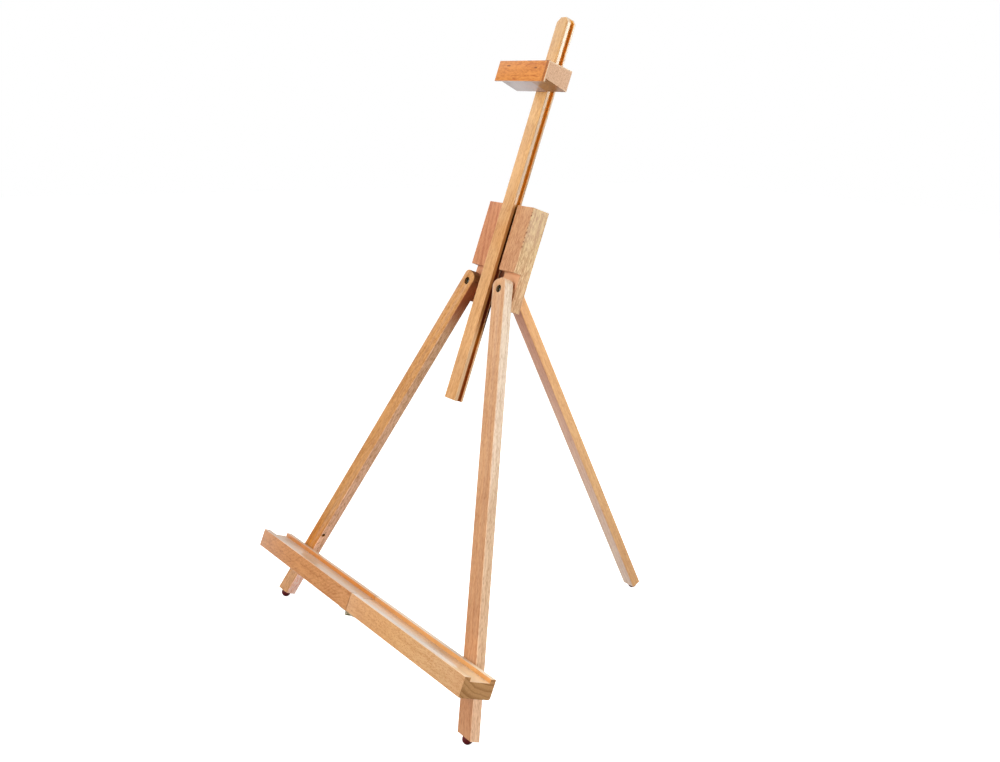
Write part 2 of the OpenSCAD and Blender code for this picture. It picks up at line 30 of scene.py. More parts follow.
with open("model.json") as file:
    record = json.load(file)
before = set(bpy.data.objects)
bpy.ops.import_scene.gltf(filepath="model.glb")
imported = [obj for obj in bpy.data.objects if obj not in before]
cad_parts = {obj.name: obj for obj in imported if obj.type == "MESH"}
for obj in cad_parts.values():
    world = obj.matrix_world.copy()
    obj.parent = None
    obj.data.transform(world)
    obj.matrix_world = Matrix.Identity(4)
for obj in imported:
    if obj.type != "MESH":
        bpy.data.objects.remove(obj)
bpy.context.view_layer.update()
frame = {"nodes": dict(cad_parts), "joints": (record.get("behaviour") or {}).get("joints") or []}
nodes = frame["nodes"]
joints = {j["name"]: j for j in frame["joints"]}
scene = bpy.context.scene
print("easel frame loaded:", len(nodes), "nodes")

view = dict(
    # eye and clip in metres, directions to the right and downwards in the view, lens and sensor in millimetres
    eye=(1.2663, -0.913337, 0.730101),
    right=(0.57435, 0.8181, 0.0283),
    down=(0.20494, -0.1102, -0.97255),
    lens=42.56,
    sensor=36.0,
    shift=(-0.0028, -0.0032),
    clip=(0.05, 50),
)


def placeCamera():
    right = Vector(view["right"]).normalized()
    back = right.cross(-Vector(view["down"])).normalized()
    up = back.cross(right)
    camera = bpy.data.objects.new("studioCamera", bpy.data.cameras.new("studioCamera"))
    camera.data.lens = view["lens"]
    camera.data.sensor_width = view["sensor"]
    camera.data.shift_x, camera.data.shift_y = view["shift"]
    camera.data.clip_start, camera.data.clip_end = view["clip"]
    turn = Matrix((right, up, back)).transposed()
    camera.matrix_world = Matrix.Translation(view["eye"]) @ turn.to_4x4()
    scene.collection.objects.link(camera)
    scene.camera = camera


placeCamera()
scene.view_settings.view_transform = "Standard"
scene.view_settings.look = "None"

lamps = {
    # centre, aim, and width and height in metres, watts, colour; the bounce is the light the floor sends up
    "keyPanel": ((1.12, 1.02, 0.95), (0.0, 0.0, 0.55), (0.95, 1.0), 20, (1.0, 0.98, 0.95)),
    "frontPanel": ((0.3, -2.4, 1.3), (0.0, 0.0, 0.35), (1.8, 1.6), 56, (1.0, 0.97, 0.93)),
    "topPanel": ((-0.4, -0.7, 2.4), (0.0, 0.0, 0.4), (1.6, 1.6), 26, (1.0, 0.98, 0.96)),
    "sidePanel": ((2.4, -0.2, 0.5), (0.0, 0.0, 0.3), (1.4, 1.2), 9, (1.0, 0.97, 0.94)),
    "bounce": ((0.0, 0.0, 0.002), (0.0, 0.0, 1.0), (3.0, 3.0), 7, (1.0, 0.96, 0.93)),
}


def hangLamps():
    for name, (centre, aim, size, watts, colour) in lamps.items():
        lamp = bpy.data.lights.new(name, "AREA")
        lamp.shape = "RECTANGLE"
        lamp.size, lamp.size_y = size
        lamp.energy = watts
        lamp.color = colour
        holder = bpy.data.objects.new(name, lamp)
        turn = (Vector(aim) - Vector(centre)).to_track_quat("-Z", "Y")
        holder.matrix_world = Matrix.Translation(centre) @ turn.to_matrix().to_4x4()
        holder.visible_camera = holder.visible_glossy = name != "bounce"
        scene.collection.objects.link(holder)


hangLamps()
print("camera and lamps placed:", len(lamps), "lamps")


class Wire:
    # an output of a node; arithmetic on it adds Math nodes
    def __init__(self, tree, socket):
        self.tree, self.socket = tree, socket

    def node(self, kind, settings=None, values=None, out=0):
        made = self.tree.nodes.new(kind)
        for key, value in (settings or {}).items():
            setattr(made, key, value)
        for key, value in (values or {}).items():
            if isinstance(value, Wire):
                self.tree.links.new(value.socket, made.inputs[key])
            else:
                made.inputs[key].default_value = value
        return Wire(self.tree, made.outputs[out])

    def math(self, operation, *values, clamp=False):
        settings = {"operation": operation, "use_clamp": clamp}
        return self.node("ShaderNodeMath", settings, dict(enumerate(values)))

    def __add__(self, other):
        return self.math("ADD", self, other)

    def __sub__(self, other):
        return self.math("SUBTRACT", self, other)

    def __rsub__(self, other):
        return self.math("SUBTRACT", other, self)

    def __mul__(self, other):
        return self.math("MULTIPLY", self, other)

    __radd__, __rmul__ = __add__, __mul__

    def __truediv__(self, other):
        return self.math("DIVIDE", self, other)

    def __rtruediv__(self, other):
        return self.math("DIVIDE", other, self)

    def __abs__(self):
        return self.math("ABSOLUTE", self)

    def root(self):
        return self.math("SQRT", self)

    def floor(self):
        return self.math("FLOOR", self)

    def fract(self):
        return self.math("FRACT", self)

    def most(self, other):
        return self.math("MAXIMUM", self, other)

    def clamped(self):
        return self.math("ADD", self, 0.0, clamp=True)

    def step(self, low, high):
        # smoothly from 0 at low to 1 at high, whichever of them is the larger
        if low > high:
            return 1 - self.step(high, low)
        return self.node("ShaderNodeMapRange", {"interpolation_type": "SMOOTHSTEP"}, {0: self, 1: low, 2: high})

    def band(self, *edges):
        # the product of a step between the first two edges and, if there are four, one between the others
        rising = self.step(*edges[:2])
        return rising * self.step(*edges[2:]) if len(edges) > 2 else rising

    def inside(self, half, begin, full):
        # from 0 at the first distance inside both faces, which lie at half, to 1 at the other
        return abs(self).step(half - begin, half - full)

    def near(self, spot, begin, full):
        # from 0 at the first distance from the spot to 1 at the other
        return abs(self - spot).step(begin, full)

    def tinted(self, colour):
        # the colour times another
        return self.node("ShaderNodeVectorMath", {"operation": "MULTIPLY"}, {0: self, 1: colour}, "Vector")

    def along(self, axis):
        return self.node("ShaderNodeVectorMath", {"operation": "DOT_PRODUCT"}, {0: self, 1: axis}, "Value")

    def vector(self, x, y, z):
        return self.node("ShaderNodeCombineXYZ", None, {0: x, 1: y, 2: z})

    def noise(self, at, scale=1.0, detail=2.0, roughness=0.5):
        # about 0, mostly within 0.25 of it
        values = {"Vector": at, "Scale": scale, "Detail": detail, "Roughness": roughness}
        return self.node("ShaderNodeTexNoise", None, values, "Fac") - 0.5

    def dice(self):
        # a random number from 0 to 1 that is the same for the same value
        return self.node("ShaderNodeTexWhiteNoise", {"noise_dimensions": "1D"}, {"W": self}, "Value")

    def cells(self, at, scale=1.0):
        # distance from the nearest of scattered points
        return self.node("ShaderNodeTexVoronoi", None, {"Vector": at, "Scale": scale}, "Distance")

    def mix(self, colour, other, blend="MIX"):
        # self is the share of the other colour
        values = {0: self, 6: colour, 7: other}
        for place in (6, 7):
            if not isinstance(values[place], Wire):
                values[place] = (*values[place], 1.0)
        return self.node("ShaderNodeMix", {"data_type": "RGBA", "blend_type": blend}, values, 2)

    def shaded(self, colour, factors):
        # the colour, times the factors where self is 1
        return self.mix(colour, factors, "MULTIPLY")


def newMaterial(name, fixed, build):
    # build gets the place and the facing of a point and returns what feeds the shader's sockets
    material = bpy.data.materials.new(name)
    material.use_nodes = True
    tree = material.node_tree
    shader = tree.nodes["Principled BSDF"]
    for key, value in fixed.items():
        shader.inputs[key].default_value = value
    spot = tree.nodes.new("ShaderNodeTexCoord")
    place, facing = Wire(tree, spot.outputs["Object"]), Wire(tree, spot.outputs["Normal"])
    for key, value in build(place, facing).items():
        if key == "Bump":
            height, distance, strength = value
            settings = {"Height": height, "Distance": distance, "Strength": strength}
            key, value = "Normal", place.node("ShaderNodeBump", None, settings)
        tree.links.new(value.socket, shader.inputs[key])
    return material


def shade(colour, factors):
    # a fixed colour times factors of its channels
    return tuple(min(1.0, c * f) for c, f in zip(colour, factors))


across = Vector((1, 0, 0))
headUp = Vector(joints["mast_slide"]["axis"]).normalized()
headBack = Vector(joints["mast_lock_turn"]["axis"]).normalized()
legFront = Vector(joints["leg_fold"]["axis"]).normalized()
legUp = across.cross(-legFront)
splay = math.radians(joints["leg_fold"]["range_deg"][1])
rearFold = math.radians(joints["rear_leg_fold"]["range_deg"][1])
legTurn = {side: Matrix.Rotation(-side * splay, 3, -legFront) for side in (-1, 1)}
rearTurn = Matrix.Rotation(rearFold, 3, "X")


def corners(node):
    mesh = nodes[node].data
    points = np.empty(len(mesh.vertices) * 3, np.float32)
    mesh.vertices.foreach_get("co", points)
    return points.reshape(-1, 3).astype(float)


class Lie:
    # a timber's own axes, its middle in metres and half of its size along them in millimetres
    def __init__(self, node, axes):
        self.axes = [a.normalized() for a in axes]
        local = corners(node) @ np.array([list(a) for a in self.axes]).T
        self.middle = [float(m) for m in (local.min(0) + local.max(0)) / 2]
        self.half = [float(h) / mm for h in (local.max(0) - local.min(0)) / 2]


headAxes, trayAxes = (across, headBack, headUp), (legUp, -legFront, across)
timberAxes = {
    # across the timber's width, towards its back, and along its grain
    "mast": headAxes,
    "left_cheek": headAxes,
    "right_cheek": headAxes,
    "bridge_block": headAxes,
    "clamp_block": (headUp, headBack, across),
    "left_leg": (legTurn[-1] @ across, -legFront, legTurn[-1] @ legUp),
    "right_leg": (legTurn[1] @ across, -legFront, legTurn[1] @ legUp),
    "rear_leg": (across, rearTurn @ headBack, rearTurn @ headUp),
    "tray_left": trayAxes,
    "tray_right": trayAxes,
    "leg_spacers": (across, -legFront, legUp),
    "bridge_dowels": (headUp, headBack, across),
}
lies = {node: Lie(node, axes) for node, axes in timberAxes.items()}

insideLook = dict(late=(0.54, 0.27, 0.12), lean=(0.0, 0.0), fleck=0.4, streak=0.6, mottle=0.4, gloss=0.2)
beechLook = {
    # early and late: colours of the wood that grows early and late in a year; end: pale and dark ones of the
    # end grain; ring: width of a year's growth in millimetres
    # pith: where the tree's centre lies from the timber's middle, across and back, in millimetres
    # lean: how far the pith moves across and back for each millimetre along the timber
    # figure, fleck, streak, mottle: how strongly growth, rays, fibres and patches show
    # gloss: 0 is a thin matt coat and 1 a thick glossy one
    "mast": dict(
        early=(0.77, 0.455, 0.2), late=(0.59, 0.3, 0.105), end=((0.64, 0.36, 0.14), (0.38, 0.17, 0.05)),
        ring=5.2, pith=(52, 70), lean=(0.012, 0.02), figure=0.7, fleck=1.0, mottle=1.0,
        drift=((0.99, 0.94, 0.94), (0.97, 0.98, 0.94)),
        # tones: the factors of about 1.3 just below the clamp are painted light that lifts the clamp's shadow
        # there
        tones=(((70, 5, -150, -100), (0.912, 0.888, 0.864)), ((-62, -42, -8, -26), (0.94, 0.86, 0.74)),
               ((-188, -205, -238, -225), (0.91, 0.9, 0.91)), ((105, 135, 175, 162), (1.27, 1.31, 1.3)),
               ((165, 200), (0.86, 0.87, 0.82)))),
    "left_cheek": dict(
        early=(0.585, 0.283, 0.15), late=(0.42, 0.166, 0.084), end=((0.54, 0.28, 0.13), (0.3, 0.11, 0.05)),
        ring=5.2, pith=(-40, 46), lean=(-0.22, 0.0), figure=1.1, fleck=0.8, gloss=0.15,
        drift=((1.05, 1.0, 0.95), (0.97, 0.88, 0.78))),
    "right_cheek": dict(
        early=(0.6, 0.338, 0.186), late=(0.44, 0.198, 0.098),
        ring=3.4, pith=(62, 30), lean=(0.015, 0.01), figure=1.0, fleck=1.0, streak=2.7, mottle=0.6, gloss=0.15,
        drift=((1.02, 0.98, 0.96), (0.95, 0.93, 0.85)), side=((1.52, 1.92, 2.05), (1.07, 1.32, 1.15))),
    "bridge_block": dict(
        late=(0.52, 0.26, 0.115), ring=5, pith=(30, -60), lean=(0.01, 0.02), figure=0.8, fleck=0.5, streak=1.0,
        gloss=0.3),
    "clamp_block": dict(
        early=(0.66, 0.262, 0.06), late=(0.42, 0.115, 0.02), end=((0.7, 0.45, 0.285), (0.46, 0.25, 0.14)),
        ring=2.6, pith=(18, 60), lean=(0.004, 0.003), figure=0.3, fleck=0.6, mottle=0.5, gloss=0.5,
        rings=0.12, pored=3.2),
    "left_leg": dict(
        early=(0.615, 0.305, 0.103), late=(0.44, 0.19, 0.049), end=((0.54, 0.29, 0.11), (0.32, 0.13, 0.04)),
        ring=5.5, pith=(-22, 60), lean=(0.03, -0.03), figure=0.6, fleck=1.3, streak=2.4,
        side=((1.78, 2.2, 4.5), (1.24, 1.54, 2.67)), tones=(((-200, -215), (1.22, 1.28, 1.6)),)),
    "right_leg": dict(
        # end: pale end grain colours, painted light that makes the round top look lit
        early=(0.607, 0.312, 0.155), late=(0.436, 0.188, 0.081), end=((0.86, 0.64, 0.44), (0.62, 0.4, 0.24)),
        ring=4.4, pith=(70, 40), lean=(-0.01, 0.01), fleck=0.9, streak=1.0, gloss=0.95,
        drift=((0.97, 0.97, 0.96), (1.09, 1.22, 1.28)), side=((1.56, 2.05, 2.6), (1.08, 1.5, 2.1)),
        tones=(((-200, -215), (1.08, 1.06, 1.1)),)),
    "rear_leg": dict(
        early=(0.92, 0.48, 0.31), late=(0.7, 0.31, 0.19),
        ring=4.8, pith=(50, 56), lean=(0.01, 0.02), fleck=0.6, streak=0.9, mottle=0.5, gloss=0.2,
        drift=((1.08, 1.56, 1.86), (0.98, 0.98, 0.98)), side=((0.86, 0.67, 0.4), (1.12, 1.22, 0.84))),
    "tray_left": dict(
        early=(0.64, 0.3, 0.118), late=(0.41, 0.15, 0.045), end=((0.45, 0.24, 0.09), (0.27, 0.11, 0.03)),
        ring=2.2, pith=(60, 110), lean=(0.1, 0.22), figure=0.55, fleck=0.7, streak=1.1, mottle=0.6,
        drift=((0.97, 0.86, 0.56), (0.93, 0.96, 1.0))),
    "tray_right": dict(
        early=(0.72, 0.405, 0.172), late=(0.58, 0.29, 0.1), end=((0.6, 0.325, 0.13), (0.33, 0.14, 0.04)),
        ring=6.3, pith=(72, 20.3), lean=(0.015, 0.0), figure=0.4, fleck=1.9, streak=1.2, mottle=0.5,
        drift=((0.98, 0.88, 0.76), (0.84, 0.85, 0.96)), rays=1.5),
    "leg_spacers": dict(insideLook, ring=5, pith=(50, 40)),
    "bridge_dowels": dict(insideLook, ring=3, pith=(20, 20)),
}
beechPlain = dict(
    # what holds where a timber's own look doesn't say
    early=(0.7, 0.4, 0.2), end=((0.56, 0.32, 0.14), (0.33, 0.13, 0.05)),
    figure=0.5, streak=1.3, mottle=0.7, gloss=0.9,
    # drift: factors of the colour at the low or left end and at the other end; side: more of them for the two
    # sides, which are cut along the rays; tones: more of them between places along the timber in millimetres
    drift=((1.0, 1.0, 1.0),) * 2, side=((1.0, 1.0, 1.0),) * 2, tones=(),
    # rays: above 1 for finer rays; rings and pored: how strongly rings and pores show on the end grain
    rays=1.0, rings=0.8, pored=0.8,
)
grainNoise = dict(
    # how fast each noise changes across and along the grain, per millimetre, its detail and its roughness
    wander=(0.014, 0.007, 2, 0.5),
    ripple=(0.05, 0.028, 3, 0.5),
    fine=(2.4, 0.09, 3, 0.65),
    broad=(0.33, 0.012, 3, 0.6),
    patch=(0.05, 0.022, 3, 0.6),
    chips=(0.5, 0.15, 2, 0.75),
    pores=(1.7, 0.4, 2, 0.7),
)
rayCells = dict(
    # how closely rays lie across and along the grain, per millimetre, where each begins and is full, strength
    small=(0.66, 0.115, (0.46, 0.14), 0.8),
    large=(0.3, 0.1, (0.3, 0.12), 0.7),
)
growthHabit = dict(
    # wander and ripple: millimetres across and back by which the noises move the pith
    wander=(12, 5), ripple=(4, 3),
    # years by which growth is early or late, and how fast that changes outwards and along the grain
    uneven=2.5, unevenOut=0.06, unevenAlong=0.003,
    # shares of a year between which the wood darkens, and between which it turns pale again
    lateLine=(0.3, 0.94, 1.0, 0.9),
    # strengths in the streaks, and the share of late colour in wood without any
    fine=0.9, broad=1.2, chips=1.7, patch=1.5, plain=0.22,
    # colour of the rays and of rubbed arrises as factors of the late and early colours, and their shares
    ray=(0.72, 0.5, 0.34), rayShare=0.45, rubbed=(1.12, 1.12, 1.12), rubShare=0.3,
    # height of the bumps in millimetres
    bump=0.1,
)


def beech(node, marks=None):
    look, lie, habit = {**beechPlain, **beechLook[node]}, lies[node], growthHabit
    width, depth, length = lie.half
    early, late, gloss = look["early"], look["late"], look["gloss"]
    (leanAcross, leanBack), (pithAcross, pithBack) = look["lean"], look["pith"]

    def build(place, facing):
        # u across, v back and w along the grain, in millimetres from the timber's middle
        u, v, w = ((place.along(a) - m) * (1 / mm) for a, m in zip(lie.axes, lie.middle))

        def layer(name):
            side, along, detail, roughness = grainNoise[name]
            return place.noise(place.vector(u * side, v * side, w * along), 1, detail, roughness)

        def spindles(name):
            side, along, edges, strength = rayCells[name]
            cells = place.cells(place.vector(u * side, v * side, w * along), look["rays"])
            return cells.step(*edges) * strength

        # distance from the pith, which leans and wanders along the grain
        wander, ripple = layer("wander"), layer("ripple")
        du = u - w * leanAcross - pithAcross + wander * habit["wander"][0] + ripple * habit["ripple"][0]
        dv = v - w * leanBack - pithBack + wander * habit["wander"][1] + ripple * habit["ripple"][1]
        radius = (du * du + dv * dv).root()
        # a year's growth darkens slowly outwards and ends in a late line, and no two years are alike
        uneven = place.noise(place.vector(radius * habit["unevenOut"], 0.0, w * habit["unevenAlong"]))
        year = radius / look["ring"] + uneven * habit["uneven"]
        lateLine = year.fract().band(*habit["lateLine"])
        age = year.floor().dice()
        growth = lateLine * (age * 0.75 + 0.25) * look["figure"]
        # fibres, broader streaks, short dark chips, and patches
        fine, broad, patch, chips = (layer(name) for name in ("fine", "broad", "patch", "chips"))
        streak = (fine * habit["fine"] + broad * habit["broad"] + chips * habit["chips"]) * look["streak"]
        streak = streak + patch * (habit["patch"] * look["mottle"])
        # rays: short dark spindles along the grain where a face cuts across them
        ray = (spindles("small") + spindles("large")) * (patch * 0.8 + 0.95)
        # faces cut across the fibres show end grain, and the two sides are cut along the rays
        end = abs(facing.along(lie.axes[2])).step(0.55, 0.85)
        side = abs(facing.along(lie.axes[0])).step(0.15, 0.5)
        along = w.step(-length, length)
        share = (growth * 0.75 + streak + habit["plain"]).clamped()
        tone = share.mix(early, late).tinted(along.mix(*look["drift"]))
        tone = side.mix(tone, tone.tinted(along.mix(*look["side"])))
        spindle = (ray * (1 - end * 0.8) * (habit["rayShare"] * look["fleck"])).clamped()
        tone = spindle.mix(tone, shade(late, habit["ray"]))
        pores = layer("pores")
        cut = lateLine * (age * 0.5 + 0.5) * look["rings"] + (pores + chips) * look["pored"]
        tone = end.mix(tone, (cut + broad * 0.3 + 0.15).clamped().mix(*look["end"]))
        # arrises rubbed paler by handling
        rim = abs(width - abs(u)) + abs(depth - abs(v))
        rub = rim.step(1.8, 0.5) * patch.step(-0.12, 0.16) * (1 - end)
        tone = (rub * habit["rubShare"]).mix(tone, shade(early, habit["rubbed"]))
        for edges, factors in look["tones"]:
            tone = w.band(*edges).shaded(tone, factors)
        # bare: how little varnish there is, in grooves, holes and joints
        bare = end * 0.6
        if marks:
            at = SimpleNamespace(node=node, half=lie.half, u=u, v=v, w=w, facing=facing, side=side, end=end,
                                 broad=broad, chips=chips)
            tone, more = marks(tone, at)
            bare = bare.most(more)
        rough = fine * 0.2 + bare * 0.3 + ray * 0.04 + (0.5 - 0.14 * gloss)
        height = fine * 0.6 + broad * 0.35 - ray * 0.2 - lateLine * 0.12 + end * pores * 0.6
        coat = (1 - bare) * (0.25 + 0.75 * gloss + patch * 0.2)
        return {"Base Color": tone, "Roughness": rough.clamped(), "Coat Weight": coat.clamped(),
                "Bump": (height, habit["bump"] * mm, 0.5)}

    fixed = {"Coat Roughness": 0.24 - 0.13 * gloss, "Coat IOR": 1.5, "IOR": 1.45, "Specular IOR Level": 0.35}
    return newMaterial("beech_" + node, fixed, build)


def place(name, mesh, body, slotName, node):
    piece = bpy.data.objects.new(name, mesh)
    scene.collection.objects.link(piece)
    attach(piece, body)
    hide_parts(node)
    return piece


easing = dict(
    # metres within which corners are one, and angles below which faces are one and above which edges are sharp
    merge=2e-6, flat=math.radians(0.4), sharp=math.radians(32),
)


def eased(node, name, body, slotName, material, ease, segments=3):
    # a merged copy of the CAD shape with its sharp edges rounded
    mesh = nodes[node].data.copy()
    mesh.name = name
    shape = bmesh.new()
    shape.from_mesh(mesh)
    bmesh.ops.remove_doubles(shape, verts=shape.verts, dist=easing["merge"])
    bmesh.ops.dissolve_limit(shape, angle_limit=easing["flat"], verts=shape.verts, edges=shape.edges)
    shape.to_mesh(mesh)
    shape.free()
    mesh.materials.clear()
    mesh.materials.append(material)
    mesh.shade_smooth()
    piece = place(name, mesh, body, slotName, node)
    bevel = piece.modifiers.new("easedArris", "BEVEL")
    bevel.width = ease * mm
    bevel.segments = segments
    bevel.limit_method = "ANGLE"
    bevel.angle_limit = easing["sharp"]
    bevel.harden_normals = True
    return piece


cheekPaintedShadeAndLight = dict(
    # dust: colour and share of the painted shade on the side towards the mast, within so many millimetres of it
    dust=(0.016, 0.0035, 0.001), shadeShare=0.97, shadeDeep=(2.0, 1.0),
    # painted light: factors of the early colour in the recess, which starts so far from the front, the back and
    # the sides
    recessLight=(1.18, 1.15, 1.15), front=(2.0, 3.2), back=(4.0, 6.0), sides=(0.6, 1.2),
)


def cheekMarks(tone, at):
    # no varnish reaches the side towards the mast, the recess or the bores; painted shade darkens that side,
    # and painted light makes the recess paler
    c = cheekPaintedShadeAndLight
    width, depth, _ = at.half
    inward = 1 if at.node == "left_cheek" else -1
    toMast = at.facing.along(across * inward).step(0.6, 0.9)
    toMast = toMast * (at.u * inward).step(*(width - d for d in c["shadeDeep"]))
    recess = at.v.step(*(d - depth for d in c["front"])) * at.v.step(*(depth - d for d in c["back"]))
    recess = recess * at.u.inside(width, *c["sides"])
    # painted light: the recess is made paler to lift its shade
    tone = recess.mix(tone, shade(beechLook[at.node]["early"], c["recessLight"]))
    # painted shade darkens the side towards the mast
    return (toMast * c["shadeShare"]).mix(tone, c["dust"]), toMast.most(recess)


# colour and share of the painted shade on the bridge's front
bridgePaintedShade = dict(colour=(0.03, 0.008, 0.003), share=0.92)


def bridgeMarks(tone, at):
    # painted shade blackens the front, behind the mast
    front = at.facing.along(-headBack).step(0.5, 0.9)
    return (front * bridgePaintedShade["share"]).mix(tone, bridgePaintedShade["colour"]), front


gumTicks = dict(
    # millimetres from one tick to the next, how far they stray, and the heights between which there are any
    pitch=6.6, stray=1.6, rows=(12, 16, 66, 62), colour=(0.2, 0.055, 0.016), share=0.85,
    # pale: factors of the colour of the right side, between these heights
    pale=(1.08, 1.15, 1.22), paleRows=(-45, -12, 40, 12),
)


def rightCheekMarks(tone, at):
    # a row of small dark gum ticks down the upper half of the front right arris, and a paler patch on the side
    g, w = gumTicks, at.w
    width, depth, _ = at.half
    lane = abs(at.u - (width - 0.5)) + abs(at.v + depth - 0.3) * 0.7
    stray = w.noise(w.vector(w * 0.11, 3.7, 1.3), 1, 1)
    row = w / g["pitch"] + stray * g["stray"]
    weight = ((row.floor() + 5).dice() * 0.9 + 0.3).clamped()
    tick = (lane * 0.9 + abs(row.fract() - 0.5) * 5.0).step(1.9, 0.8) * w.band(*g["rows"]) * weight
    tone = (at.side * w.band(*g["paleRows"])).shaded(tone, g["pale"])
    return cheekMarks((tick * g["share"]).mix(tone, g["colour"]), at)


clampWearAndPaintedLight = dict(
    # two dashes: place as shares of the half length and half height, and their outer and inner half length and
    # half height in millimetres
    dashes=((-0.58, 0.5, (4.5, 2.6), (1.1, 0.4)), (0.54, 0.3, (3.6, 2.0), (1.0, 0.4))),
    # dark: colour of the dashes, the stripe and the upper arris; under: of the underside, painted as a pale
    # reflection on the left and as brown shade on the right of these places in millimetres; rim: painted
    # highlight of the end grain's edges
    dark=(0.15, 0.03, 0.006), under=((0.56, 0.44, 0.43), (0.5, 0.24, 0.1)), turn=(9, 15),
    rim=(0.84, 0.66, 0.46),
)


def clampMarks(tone, at):
    # two short dark dashes and a brown stripe at the right end of the front, and dark upper arris; the
    # underside is painted as a pale reflection on the left and as brown shade on the right, and the end rims as
    # pale highlights
    c, u, v, w = clampWearAndPaintedLight, at.u, at.v, at.w
    height, depth, length = at.half
    one, two = (w.near(length * a, *long) * u.near(height * b, *high) for a, b, long, high in c["dashes"])
    stripe = (w + at.broad * 3).near(length - 3.0, 3.0, 1.0) * 0.6
    upper = u.step(height - 1.2, height - 0.2) * 0.45
    marked = ((one + two) * 0.9 + stripe + upper) * v.step(1.5 - depth, 0.3 - depth)
    tone = marked.clamped().mix(tone, c["dark"])
    # the underside: painted pale reflection on the left, painted brown shade on the right
    under = at.facing.along(-headUp).step(0.6, 0.9)
    tone = (under * 0.85).mix(tone, w.step(*c["turn"]).mix(*c["under"]))
    # painted highlight along the end grain's edges
    edge = w.math("MINIMUM", abs(v + depth), height - abs(u))
    rim = edge.step(2.0, 0.7) * at.end
    return (rim * 0.7).mix(tone, c["rim"]), at.end * 0.9


mastWearAndPaintedLight = dict(
    # heights from the mast's middle in millimetres: where it runs in the head, where the sides are painted pale
    # below the head and above it, where they turn paler and where they are bare, and where the grooves' colour
    # turns
    head=(-188, -142, 15, -15), below=(-150, -185), above=(0, 30), paler=(160, 230),
    bareSides=(0, 30, 190, 150), turn=(-170, -200),
    # colours of the sides at those places, painted pale as a highlight below the head and higher above it, and
    # of the back and front halves of the sides in the head, painted dark as shade
    belowHighlight=(0.8, 0.54, 0.31), aboveToneAndHighlight=((0.43, 0.28, 0.15), (0.76, 0.62, 0.46)),
    backShade=(0.06, 0.014, 0.003), frontShade=(0.6, 0.25, 0.06), backHalf=(-4.5, 1.5),
    # grooves: their middle behind the front, half width, and depths between which they lie, in millimetres
    groove=7.85, grooveHalf=(3.4, 2.9), grooveDeep=(0.3, 0.9), grooveFloor=(5.5, 4.4),
    # orange colours of the grooves, which also stand in for their shade, and the painted shade pooled in them
    shadeTint=((0.8, 0.335, 0.024), (0.52, 0.13, 0.006)), pooledAndShade=(0.22, 0.03, 0.002),
)


def mastMarks(tone, at):
    # the sides are painted pale as a highlight above and below the head, and dark as shade where they run in
    # it; the grooves are bare and orange, a colour that also stands in for their shade, with painted shade
    # pooled in them, darkest inside the head
    m, u, w = mastWearAndPaintedLight, at.u, at.w
    width, depth, _ = at.half
    side = abs(at.facing.along(across)).step(0.4, 0.8)
    tone = (side * w.step(*m["below"]) * 0.8).mix(tone, m["belowHighlight"])
    tone = (side * w.step(*m["above"]) * 0.8).mix(tone, w.step(*m["paler"]).mix(*m["aboveToneAndHighlight"]))
    inHead, backHalf = w.band(*m["head"]), at.v.step(*m["backHalf"])
    tone = (side * inHead * backHalf).mix(tone, m["backShade"])
    tone = (side * inHead * (1 - backHalf) * 0.8).mix(tone, m["frontShade"])
    groove = u.inside(width, *m["grooveDeep"]) * at.v.near(m["groove"] - depth, *m["grooveHalf"])
    groove = groove * u.inside(width, *m["grooveFloor"])
    # share of painted shade in the grooves: a little, patchily, everywhere, and most inside the head
    poolAndShade = (at.broad * 0.6 + 0.1 + inHead * 0.9).clamped()
    shadeTint = poolAndShade.mix(w.step(*m["turn"]).mix(*m["shadeTint"]), m["pooledAndShade"])
    bare = groove.most(side * (inHead + w.band(*m["bareSides"]) * 0.4))
    return (groove * 0.95).mix(tone, shadeTint), bare


legPaintedShade = dict(
    # dark: painted shade inside the holes, and depths below the surface between which they begin, in
    # millimetres
    dark=(0.045, 0.012, 0.004), holes=(0.25, 0.9),
    # millimetres up from the leg's middle where the left leg's inner side and round top are painted dark with
    # shade, and the colours there
    rubbed=(180, 250), shadeTurn=(262, 285), shadeColours=((0.36, 0.078, 0.014), (0.26, 0.09, 0.018)),
    crown=(200, 250), crownShade=(0.16, 0.055, 0.01),
    # heights where the left leg's front has painted contact shade above the tray, and the factors of its colour
    # there
    shadedBand=(-120, -175, -205, -195), shadeTint=(0.95, 0.76, 0.34),
)


def legMarks(tone, at):
    # the blind hole in the inner side and the counterbore are painted dark with shade, but not the round top or
    # the sole; the left leg's inner side and top are painted dark with shade beside the mast, and its front has
    # painted contact shade above the tray
    leg, u, w = legPaintedShade, at.u, at.w
    width, depth, length = at.half
    # the round top lies at half the width from the pivot
    above = w - (length - width)
    radial = (u * u + above * above).root()
    outside = radial.step(width - 1.6, width - 0.8) * above.step(-4, -2) + at.end * above.step(0, -20)
    inside = u.inside(width, *leg["holes"]) * at.v.inside(depth, *leg["holes"]) * (1 - outside).clamped()
    bare = at.side * 0.6
    if at.node == "left_leg":
        # painted shade on the inner side near the top and on the round top, beside the mast
        rubbed, crown = at.side * w.step(*leg["rubbed"]), at.end * w.step(*leg["crown"])
        tone = (rubbed * 0.93).mix(tone, w.step(*leg["shadeTurn"]).mix(*leg["shadeColours"]))
        tone = (crown * 0.9).mix(tone, leg["crownShade"])
        # painted contact shade above the tray
        tone = ((1 - at.side) * w.band(*leg["shadedBand"])).shaded(tone, leg["shadeTint"])
        bare = rubbed + crown
    return (inside * 0.93).mix(tone, leg["dark"]), inside.most(bare)


